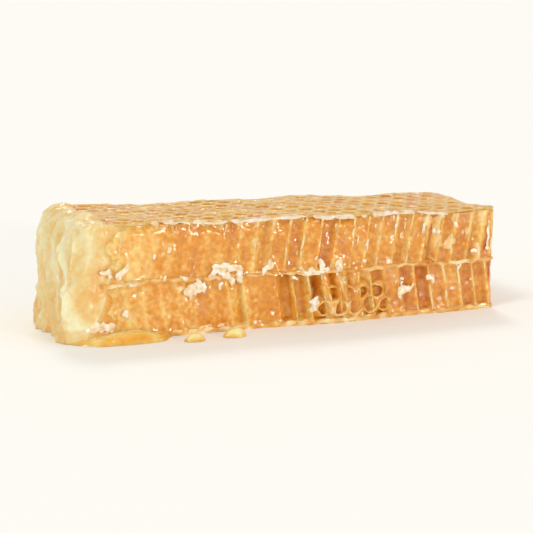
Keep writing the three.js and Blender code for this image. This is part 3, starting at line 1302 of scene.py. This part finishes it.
@dataclass
class SmearedEnd:
    """The wax that the knife dragged over the left end, round its corners and onto the upper face."""

    right: float = -50.0
    cuts: int = 66
    proud: float = 0.5
    fold_height: float = 1.0
    streaks: tuple[tuple[tuple[float, float], tuple[float, float]], ...] = (
        ((-13.5, 29.0), (-9.0, 19.0)),
        ((-13.5, 29.0), (-20.5, 5.0)),
    )
    streak_width: float = 2.0
    floor_gap: float = 0.15
    spreading: float = 1.5
    covered: float = 13.0
    dive: float = 2.6
    ragged: Rough = Rough(3.5, 4.0, (0.6, 1.0, 1.0))
    midrib_half: float = 2.8
    midrib_bare: float = 4.0
    creases: Rough = Rough(1.0, 3.6, (0.5, 1.1, 0.25))
    mottling: Rough = Rough(0.3, 4.0, (1.0, 1.4, 0.4))

    def build(self) -> Object:
        """Rounds a fine block over the end, and lets it thin out under the comb's own surface.

        Returns:
            The piece.
        """
        mesh = bmesh.new()
        bmesh.ops.create_cube(mesh, size=1.0, matrix=Matrix.Translation((0.5, 0, 0.5)))
        bmesh.ops.subdivide_edges(mesh, edges=mesh.edges[:], cuts=self.cuts, use_grid_fill=True)
        tone = mesh.verts.layers.float.new("tone")
        left = -STRIP.half_length
        width = self.right - left
        for vertex in mesh.verts:
            a, b, c = vertex.co
            height = self.floor_gap + c * (STRIP.height - self.floor_gap)
            box = Vector((left + width * a**self.spreading, b * STRIP.depth, height))
            p, out = self.rounded(box)
            p.z *= STRIP.top_at(p.x) / STRIP.height
            if p.x < left + STRIP.smear_radius and c > 0.99:
                out = Vector((p.x - left - STRIP.smear_radius, 0, p.z - STRIP.height + STRIP.smear_radius))
                out = out.normalized()
            over_midrib = ease(self.midrib_half, 0.0, abs(p.z - COMB.midrib_height))
            ragged = self.ragged.at(*p) - self.midrib_bare * over_midrib
            thin = clamp((p.x + ragged - left - 2.0) / self.covered)
            streak = self.streak(p)
            fold = (self.fold(p) + 0.7 * streak) * (1 - thin)
            p += out * (self.proud - self.dive * ease(0.4, 1.0, thin) + fold)
            p.z = max(p.z, 0.1)
            vertex[tone] = 0.52 + 0.3 * fold + 0.35 * streak + self.mottling.at(*p)
            vertex[tone] -= 0.3 * (1 - c) ** 1.5 + 0.35 * thin
            vertex.co = placed(p)
        return publish("smeared_end", mesh, SMEARED_WAX)

    def streak(self, p: Vector) -> float:
        """Returns how near a point of the end lies to the whitish forked streak, from 0 to 1."""
        if p.x > -STRIP.half_length + STRIP.left_radius:
            return 0.0
        here = Vector((p.y, p.z))
        away = min(distance(here, Vector(start), Vector(end)) for start, end in self.streaks)
        return 1 - ease(0.2, self.streak_width, away)

    @staticmethod
    def rounded(p: Vector) -> tuple[Vector, Vector]:
        """Rounds the left end's upright corners.

        Args:
            p: A point of the square block's surface.

        Returns:
            The point of the rounded block, and the way out from it.
        """
        radius = STRIP.left_radius
        core_x = max(p.x, -STRIP.half_length + radius)
        core_y = clamp(p.y, -STRIP.half_depth + radius, STRIP.half_depth - radius)
        away = Vector((min(0.0, p.x - core_x), p.y - core_y, 0))
        if away.length > radius or abs(away.x) > radius - 1e-6 or abs(away.y) > radius - 1e-6:
            out = away.normalized()
            return Vector((core_x, core_y, p.z)) + out * radius, out
        return p, Vector((0, 0, 1 if p.z > STRIP.height / 2 else -1))

    def fold(self, p: Vector) -> float:
        """Returns how far an upright crease of the dragged wax stands out at a point, in millimetres."""
        crease = 1 - abs(self.creases.at(*p)) * 2.0
        lumps = grain(p.x, p.y, p.z, 3.0) * 0.4
        return self.fold_height * crease**3 + lumps if crease > 0 else lumps


class Torn(Enum):
    """The shapes of torn wax, each as strokes in a square from -1 to 1."""

    HOOK = (
        ((-0.95, -0.3), (-0.65, 0.5), (0.0, 0.75), (0.7, 0.45), (0.85, -0.45)),
        ((-0.4, 0.05), (0.05, -0.3), (0.45, -0.8)),
    )
    CROWN = (
        ((-0.95, -0.35), (-0.45, -0.62), (0.1, -0.4), (0.55, -0.5), (0.95, -0.2)),
        ((-0.7, -0.4), (-0.85, 0.1)),
        ((-0.35, -0.5), (-0.1, 0.05)),
        ((0.45, -0.4), (0.62, 0.2), (0.4, 0.85)),
    )
    SPLASH = (
        ((-0.95, 0.2), (-0.6, 0.1), (-0.35, 0.3)),
        ((-0.55, 0.05), (-0.45, -0.25)),
        ((0.2, -0.5), (0.3, -0.1), (0.75, 0.15), (0.9, 0.55)),
    )
    SHEET = (((-0.55, -0.1), (0.0, 0.15), (0.55, 0.05)),)
    FLECK = (((-0.3, 0.0), (0.3, 0.0)),)


@dataclass(frozen=True)
class Scrap:
    """A torn scrap: its shape, place and half size on the front, its turn and its strokes' half width."""

    shape: Torn
    x: float
    z: float
    half: tuple[float, float]
    turn: float
    stroke: float


@dataclass
class Flakes:
    """Torn wax on the front face, near white: a few large scraps and many small ones, some of them thin
    white strokes that are painted highlights.
    """

    large: tuple[Scrap, ...] = (
        Scrap(Torn.HOOK, -23.5, 18.0, (5.2, 2.9), -8.0, 1.15),
        Scrap(Torn.SHEET, -33.5, 13.6, (4.0, 1.9), 12.0, 1.6),
        Scrap(Torn.SHEET, -10.5, 18.6, (2.5, 1.5), 30.0, 1.1),
        Scrap(Torn.CROWN, 4.5, 17.8, (4.9, 2.8), 2.0, 0.75),
        Scrap(Torn.SHEET, 13.2, 18.4, (1.6, 1.4), 70.0, 1.15),
        Scrap(Torn.SHEET, 5.0, 6.6, (2.3, 2.0), 60.0, 1.3),
        Scrap(Torn.SHEET, 36.4, 8.2, (2.9, 2.0), 24.0, 1.35),
        Scrap(Torn.FLECK, 39.4, 9.6, (3.0, 1.0), 52.0, 0.55),
        Scrap(Torn.SHEET, 46.0, 11.5, (2.2, 1.4), -50.0, 0.8),
        Scrap(Torn.SPLASH, -58.5, 20.0, (4.2, 3.0), 4.0, 0.8),
        Scrap(Torn.SHEET, -62.5, 4.6, (4.6, 1.8), -4.0, 1.4),
        Scrap(Torn.FLECK, -55.0, 7.4, (2.6, 1.0), -42.0, 0.9),
        # Painted highlights: these four thin white wax strokes stand where wet edges glint, along the right
        # end's front edge and near the top on the right
        Scrap(Torn.FLECK, 54.8, 29.6, (2.2, 1.0), -55.0, 0.6),
        Scrap(Torn.FLECK, 67.4, 25.0, (15.0, 1.0), 86.0, 0.62),
        Scrap(Torn.FLECK, 43.5, 29.0, (3.4, 1.0), 84.0, 0.5),
        Scrap(Torn.FLECK, 26.0, 29.5, (2.4, 1.0), 84.0, 0.4),
    )
    small: int = 44
    seed: int = 5
    thread: float = 0.34
    thickness: float = 0.3
    curl: float = 0.5
    over_smear: float = 0.9
    smear_starts: tuple[float, float] = (-53.0, -60.0)
    mottling: Rough = Rough(0.9, 1.1)

    def add(self, mesh: BMesh, scrap: Scrap, seed: float) -> None:
        """Adds one torn scrap: a curled ribbon of wax with a ragged outline along its strokes.

        Args:
            mesh: The mesh that all scraps share.
            scrap: What to add.
            seed: What makes its outline its own.
        """
        wide, tall = (size + scrap.stroke * 1.5 for size in scrap.half)
        squares = (max(4, round(2 * wide / self.thread)), max(4, round(2 * tall / self.thread)))
        made = add_grid(mesh, 0.0, (2 * wide, 2 * tall), squares)
        across, up = scrap.half
        strokes = [[Vector((x * across, y * up)) for x, y in stroke] for stroke in scrap.shape.value]
        faces = list({face for vertex in made for face in vertex.link_faces})
        gone = [face for face in faces if self.cover(face.calc_center_median(), scrap, strokes, seed) <= 0]
        bmesh.ops.delete(mesh, geom=gone, context="FACES")
        kept = [vertex for vertex in made if vertex.is_valid]
        rim = [vertex for vertex in kept if vertex.is_boundary]
        for _ in range(2):
            bmesh.ops.smooth_vert(mesh, verts=rim, factor=0.5, use_axis_x=True, use_axis_y=True)
        over_smear = self.over_smear * ease(*self.smear_starts, scrap.x)
        place = Vector((scrap.x, -STRIP.half_depth - over_smear, scrap.z))
        turning = Matrix.Rotation(math.radians(-scrap.turn), 3, "Y")
        for vertex in kept:
            x, z = vertex.co.x, vertex.co.y
            body = clamp(self.cover(vertex.co, scrap, strokes, seed))
            lift = self.curl * (grain(x, z, seed * 5, 2.2) + body * scrap.stroke)
            vertex.co = place + turning @ Vector((x, -0.1 - max(0.0, lift), z))
        sheet = [face for face in faces if face.is_valid]
        bmesh.ops.solidify(mesh, geom=sheet, thickness=self.thickness)

    @staticmethod
    def cover(at: Vector, scrap: Scrap, strokes: list[list[Vector]], seed: float) -> float:
        """Finds how much wax a scrap has at a place.

        Args:
            at: The place, in millimetres from the scrap's middle.
            scrap: The scrap.
            strokes: Its strokes, in the same measure.
            seed: What makes its outline its own.

        Returns:
            1 on a stroke, 0 at its ragged edge, and less beyond it.
        """
        here = Vector((at.x, at.y))
        away = min(
            distance(here, start, end) for stroke in strokes for start, end in zip(stroke, stroke[1:])
        )
        width = scrap.stroke * (1 + 0.85 * grain(at.x + seed * 7, at.y, seed, 1.4))
        return 1 - away / max(width, 0.1)

    def scattered(self) -> Iterator[Scrap]:
        """Returns the small scraps: flecks along the midrib and the top edge, and on the ridges thin upright
        white strokes that are painted highlights.
        """
        draws = random.Random(self.seed)
        for i in range(self.small):
            # Every third small scrap is a painted highlight: a thin white stroke along a ridge, leaning with
            # the cells
            painted_glint = i % 3 == 0
            x = draws.uniform(5, 66) if painted_glint else draws.uniform(-60, 66)
            if painted_glint:
                z = draws.uniform(19, 31)
            else:
                z = draws.choice((draws.gauss(17, 2.0), draws.uniform(3, 31)))
            size = draws.uniform(0.3, 0.8)
            long = size * (draws.uniform(2.0, 4.0) if painted_glint else draws.uniform(1.0, 2.4))
            turn = 81.0 if painted_glint else draws.uniform(-70, 70)
            shape = draws.choice((Torn.FLECK, Torn.SHEET))
            stroke = size * (0.5 if painted_glint else 0.8)
            yield Scrap(shape, x, clamp(z, 2.5, 31.5), (long, size * 0.6), turn, stroke)

    def build(self) -> Object:
        """Adds the large scraps and scatters the small ones.

        Returns:
            The piece.
        """
        mesh = bmesh.new()
        for i, scrap in enumerate((*self.large, *self.scattered())):
            self.add(mesh, scrap, 1 + i * 0.61)
        tone = mesh.verts.layers.float.new("tone")
        for vertex in mesh.verts:
            vertex[tone] = 0.6 + self.mottling.at(*vertex.co)
            vertex.co = placed(vertex.co)
        return publish("torn_wax_and_painted_glints", mesh, TORN_WAX_AND_GLINTS, 1)


@dataclass
class CappingRim:
    """The cappings' cut rim along the top of the front: a thin, ragged, off-white band of wax."""

    left: float = -51.0
    right: float = 57.0
    step: float = 0.4
    rows: int = 9
    drop: float = 0.35
    patch_x: float = 9.0
    patch_half: float = 4.0
    thickness: float = 0.22
    fade: float = 8.0
    set_in: float = 0.75
    reach: float = 0.95
    rise: float = 0.85
    tears: Rough = Rough(0.9, 3.0, (1.0, 1.5, 1.0))
    unevenness: Rough = Rough(0.5, 2.5)
    curls: Rough = Rough(0.25, 1.2)
    mottling: Rough = Rough(0.6, 2.4)

    def build(self) -> Object:
        """Bends a grid over the front edge, tears its lower side, and gives it its thickness.

        Returns:
            The piece.
        """
        mesh = bmesh.new()
        length = self.right - self.left
        middle = (self.left + self.right) / 2
        add_grid(mesh, middle, (length, 1), (round(length / self.step), self.rows))
        front, top = -STRIP.half_depth, STRIP.height
        gone = []
        for face in mesh.faces:
            here = face.calc_center_median()
            fade = ease(self.left, self.left + self.fade, here.x)
            fade *= ease(self.right, self.right - self.fade, here.x)
            if 0.36 + self.tears.at(here.x, here.y, 2.0) < 0.6 * (1 - fade) + abs(here.y) * 0.5:
                gone.append(face)
        bmesh.ops.delete(mesh, geom=gone, context="FACES")
        for vertex in mesh.verts:
            x, share = vertex.co.x, vertex.co.y + 0.5
            patch = 1 - ease(0.0, self.patch_half, abs(x - self.patch_x))
            drop = self.drop * (0.8 + self.unevenness.at(x, 0, 5.0) + 0.9 * patch)
            turn = share * math.pi / 2
            lift = self.curls.at(x, share, 9.0)
            y = front + self.set_in - (self.reach + lift) * math.cos(turn)
            vertex.co = Vector((x, y, top - self.set_in - drop + (drop + self.rise + lift) * share))
        bmesh.ops.solidify(mesh, geom=mesh.faces[:], thickness=self.thickness)
        tone = mesh.verts.layers.float.new("tone")
        for vertex in mesh.verts:
            vertex[tone] = 0.6 + self.mottling.at(*vertex.co)
            vertex.co = placed(vertex.co)
        return publish("capping_rim", mesh, RIM_WAX, 1)


@dataclass
class TornMouths:
    """Cells of the lower layer that tore and bent over, with their mouths to the front of the hollow."""

    lower_row: float = 4.6
    lower: tuple[float, ...] = (8.2, 13.5, 18.8, 24.1, 29.4)
    upper: tuple[float, ...] = (10.85, 16.15, 21.45, 26.75)
    look_up: float = 3.0
    rounding: float = 1.1
    spread: float = 1.5
    skirt: float = 3.2
    stray: float = 0.85
    lowest: float = 0.6
    mottling: tuple[Rough, Rough] = (Rough(0.4, 1.7), Rough(0.5, 6.0))

    def round_off(self, at: Vector, middle: Vector) -> Vector:
        """Returns where a point of a six-sided mouth lies once the mouth is round."""
        away = at.xy - middle.xy
        side = math.pi / 3
        corner = math.atan2(away.y, away.x) % side
        return middle.xy + away * math.cos(min(corner, side - corner)) ** self.rounding

    def build(self) -> Object:
        """Sinks each cell of a small patch into a round mouth, slopes its sides and turns it to the front.

        Returns:
            The piece.
        """
        mesh = bmesh.new()
        upper_row = self.lower_row + COMB.row_spacing
        places = [(x, self.lower_row) for x in self.lower] + [(x, upper_row) for x in self.upper]
        for x, z in places:
            add_cell(mesh, x, z, 0)
        bmesh.ops.remove_doubles(mesh, verts=mesh.verts[:], dist=0.05)
        bmesh.ops.subdivide_edges(mesh, edges=mesh.edges[:], cuts=2)
        tone = mesh.verts.layers.float.new("tone")
        rim = [vertex for vertex in mesh.verts if vertex.is_boundary]
        for _ in range(3):
            bmesh.ops.smooth_vert(mesh, verts=rim, factor=0.5, use_axis_x=True, use_axis_y=True)
        for face in mesh.faces[:]:
            middle = face.calc_center_median()
            own = 0.7 + 0.6 * chance(round(middle.x), 3)
            for vertex in face.verts:
                vertex[tone] = 0.45
            before = set(mesh.verts)
            wide = 0.35 + 0.3 * chance(round(middle.x), 5)
            rings = [(wide, 0.4, 0.75), (0.3, -0.5, 0.5), (0.35, -own, 0.2), (0.4, -0.5, 0.0)]
            sink(mesh, face, tone, rings, -0.2)
            for vertex in set(mesh.verts) - before:
                vertex.co.xy = self.round_off(vertex.co, middle)
        centre = Vector((sum(self.lower) / len(self.lower), self.lower_row))
        edges = [edge for edge in mesh.edges if edge.is_boundary]
        for rise in (-0.9, -self.skirt):
            drawn, edges = draw_out(mesh, edges)
            for vertex in drawn:
                outwards = (vertex.co.xy - centre).normalized() * self.spread
                vertex.co += Vector((outwards.x, outwards.y, rise))
                vertex[tone] = 0.4
        bmesh.ops.holes_fill(mesh, edges=edges, sides=0)
        turning = Matrix.Rotation(math.radians(90 - self.look_up), 3, "X")
        for vertex in mesh.verts:
            p = vertex.co.copy()
            stray = Vector((grain(*p, 2.6), grain(p.y, p.x, p.z, 2.9), 2.0 * grain(p.x, p.y, 4.0, 3.4)))
            p += self.stray * stray + Vector((0, -self.lower_row, 0))
            q = turning @ p + Vector((0, -STRIP.half_depth, self.lower_row))
            q.z = max(q.z, self.lowest)
            fine, wide = self.mottling
            vertex[tone] += fine.at(*q) + wide.at(*q)
            vertex.co = placed(q)
        return publish("torn_cell_mouths", mesh, WALL_WAX, 2)


@dataclass
class RunHoney:
    """Honey that has run out: a pool at the smeared end's foot, and loose drops in front."""

    pool_middle: tuple[float, float] = (-56.0, -17.0)
    pool_half: tuple[float, float] = (17.5, 11.5)
    pool_height: float = 3.2
    drops: tuple[tuple[float, float, float], ...] = ((-24.0, -29.0, 2.6), (-37.0, -30.0, 2.3))
    drop_stretch: float = 1.4
    edge_run: float = 0.7
    swells: Rough = Rough(0.25, 6.0)
    edge_curve: float = 0.62

    def build_pool(self) -> Object:
        """Flattens a ball into a pool with an uneven round edge.

        Returns:
            The piece.
        """
        mesh = bmesh.new()
        bmesh.ops.create_uvsphere(mesh, u_segments=96, v_segments=24, radius=1.0)
        self.flatten(mesh, self.pool_middle, self.pool_half, self.pool_height, 0.22, (0.75, 0.35))
        return publish("honey_pool", mesh, RUN_HONEY)

    def build_drops(self) -> Object:
        """Flattens small balls into drops.

        Returns:
            The piece.
        """
        whole = bmesh.new()
        for x, y, radius in self.drops:
            one = bmesh.new()
            bmesh.ops.create_uvsphere(one, u_segments=40, v_segments=20, radius=1.0)
            self.flatten(one, (x, y), (radius * self.drop_stretch, radius), radius, 0.1, (1.0, 0.25))
            data = bpy.data.meshes.new("drop")
            one.to_mesh(data)
            one.free()
            whole.from_mesh(data)
            bpy.data.meshes.remove(data)
        return publish("honey_drops", whole, RUN_HONEY)

    def flatten(
        self,
        mesh: BMesh,
        middle: tuple[float, float],
        half: tuple[float, float],
        height: float,
        uneven: float,
        tones: tuple[float, float],
    ) -> None:
        """Turns a ball of radius 1 into honey that lies on the floor.

        Args:
            mesh: The ball.
            middle: Where it lies.
            half: Its half sizes along X and Y.
            height: How high it stands.
            uneven: How far its edge strays, as a share of its size.
            tones: How pale its middle and its rim are; the paler middle and darker rim are painted light, as
                the floor's light seen through the curved honey.
        """
        tone = mesh.verts.layers.float.new("tone")
        for vertex in mesh.verts:
            way = vertex.co.copy()
            around = math.atan2(way.y, way.x)
            stray = 1 + uneven * grain(math.cos(around), math.sin(around), middle[0], self.edge_run)
            flat = math.sqrt(way.x**2 + way.y**2)
            wave = 1 + self.swells.at(way.x * half[0], way.y * half[1], 0.0)
            rise = height * wave * max(0.0, 1 - flat**2) ** self.edge_curve if way.z > 0 else 0.0
            x = middle[0] + way.x * half[0] * stray
            y = middle[1] + way.y * half[1] * stray
            # Painted light: paler in the middle and darker at the rim, as light through the rounded honey
            # looks
            vertex[tone] = tones[0] + (tones[1] - tones[0]) * flat**4
            vertex.co = (Vector((x, y, rise)) + SHIFT) * MM


@dataclass(frozen=True)
class Sun:
    """A light that is even over the floor: where it comes from, its strength and its width in the sky."""

    name: str
    azimuth: float
    elevation: float
    strength: float
    width: float


@dataclass
class Studio:
    """Plain pale floor, soft light from all round and a camera at the photograph's viewing angle."""

    azimuth: float = -23.0
    elevation: float = 10.0
    distance: float = 0.5
    lens: float = 106.0
    floor_colour: str = "fbfbf9"
    world_colour: str = "fffefa"
    world_strength: float = 0.7
    sun_colour: str = "fffaf2"
    aim_height: float = 0.015
    floor_half: float = 60.0
    floor_roughness: float = 0.9
    paper_mm: float = 1.5
    paper_strength: float = 0.02
    paper_height_mm: float = 0.2
    suns: tuple[Sun, ...] = (
        Sun("key", -65.0, 52.0, 0.6, 16.0),
        Sun("front", 25.0, 8.0, 0.72, 4.0),
        Sun("back", 165.0, 50.0, 0.6, 14.0),
    )

    def toward(self, azimuth: float, elevation: float) -> Vector:
        """Returns the way from the strip to a viewer or a light at those angles in degrees."""
        a, e = math.radians(azimuth), math.radians(elevation)
        return Vector((math.sin(a) * math.cos(e), -math.cos(a) * math.cos(e), math.sin(e)))

    def add_camera(self) -> None:
        """Adds the camera and makes it the scene's own."""
        data = bpy.data.cameras.new("camera")
        data.lens = self.lens
        camera = bpy.data.objects.new("camera", data)
        bpy.context.scene.collection.objects.link(camera)
        back = self.toward(self.azimuth, self.elevation)
        camera.location = Vector((0.0, 0.0, self.aim_height)) + back * self.distance
        camera.rotation_mode = "QUATERNION"
        camera.rotation_quaternion = (-back).to_track_quat("-Z", "Y")
        bpy.context.scene.camera = camera

    def add_sun(self, sun: Sun) -> None:
        """Adds one of the soft lights."""
        data = bpy.data.lights.new(sun.name, "SUN")
        data.energy = sun.strength
        data.angle = math.radians(sun.width)
        data.color = linear(self.sun_colour)[:3]
        lamp = bpy.data.objects.new(sun.name, data)
        bpy.context.scene.collection.objects.link(lamp)
        lamp.rotation_mode = "QUATERNION"
        lamp.rotation_quaternion = self.toward(sun.azimuth, sun.elevation).to_track_quat("Z", "Y")

    def add_world(self) -> None:
        """Adds an even warm white sky."""
        world = bpy.data.worlds.new("studio")
        world.use_nodes = True
        sky = world.node_tree.nodes["Background"]
        sky.inputs["Color"].default_value = linear(self.world_colour)
        sky.inputs["Strength"].default_value = self.world_strength
        bpy.context.scene.world = world

    def add_floor(self) -> None:
        """Adds the pale floor, with the faintest grain of matt paper."""
        mesh = bmesh.new()
        bmesh.ops.create_grid(mesh, x_segments=1, y_segments=1, size=self.floor_half)
        data = bpy.data.meshes.new("floor")
        mesh.to_mesh(data)
        mesh.free()
        floor = bpy.data.objects.new("floor", data)
        bpy.context.scene.collection.objects.link(floor)
        material = bpy.data.materials.new("matt_white_paper")
        material.use_nodes = True
        tree = material.node_tree
        shader = tree.nodes["Principled BSDF"]
        shader.inputs["Base Color"].default_value = linear(self.floor_colour)
        shader.inputs["Roughness"].default_value = self.floor_roughness
        place = add_node(tree, "ShaderNodeTexCoord").outputs["Object"]
        paper = uneven_normal(tree, place, self.paper_mm, self.paper_strength, self.paper_height_mm)
        tree.links.new(paper, shader.inputs["Normal"])
        data.materials.append(material)
        floor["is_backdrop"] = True

    def build(self) -> None:
        """Sets up the whole studio."""
        bpy.context.scene.view_settings.view_transform = "Standard"
        self.add_camera()
        self.add_world()
        self.add_floor()
        for sun in self.suns:
            self.add_sun(sun)


def write_sizes() -> None:
    """Gathers the solid model's box and the visual model's box, and does nothing more with them."""
    boxes = {"cad": cad_box, "visual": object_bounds()}
    {name: [list(corner) for corner in box] for name, box in boxes.items()}


def main() -> None:
    """Builds the strip's pieces in order, then the studio."""
    HoneyFill().build()
    for layer in Layer:
        WaxWalls().build(layer)
    Slab("midrib", low=16.1, high=17.1, proud=0.0, zigzag=0.4, scallop=0.0).build()
    Slab("bottom_cappings", low=0.0, high=1.5, proud=0.4, zigzag=0.0, scallop=0.22).build()
    TopCappings().build()
    CappingRim().build()
    SmearedEnd().build()
    TornMouths().build()
    Flakes().build()
    honey = RunHoney()
    honey.build_pool()
    honey.build_drops()
    Studio().build()
    write_sizes()


if __name__ == "__main__":
    main()
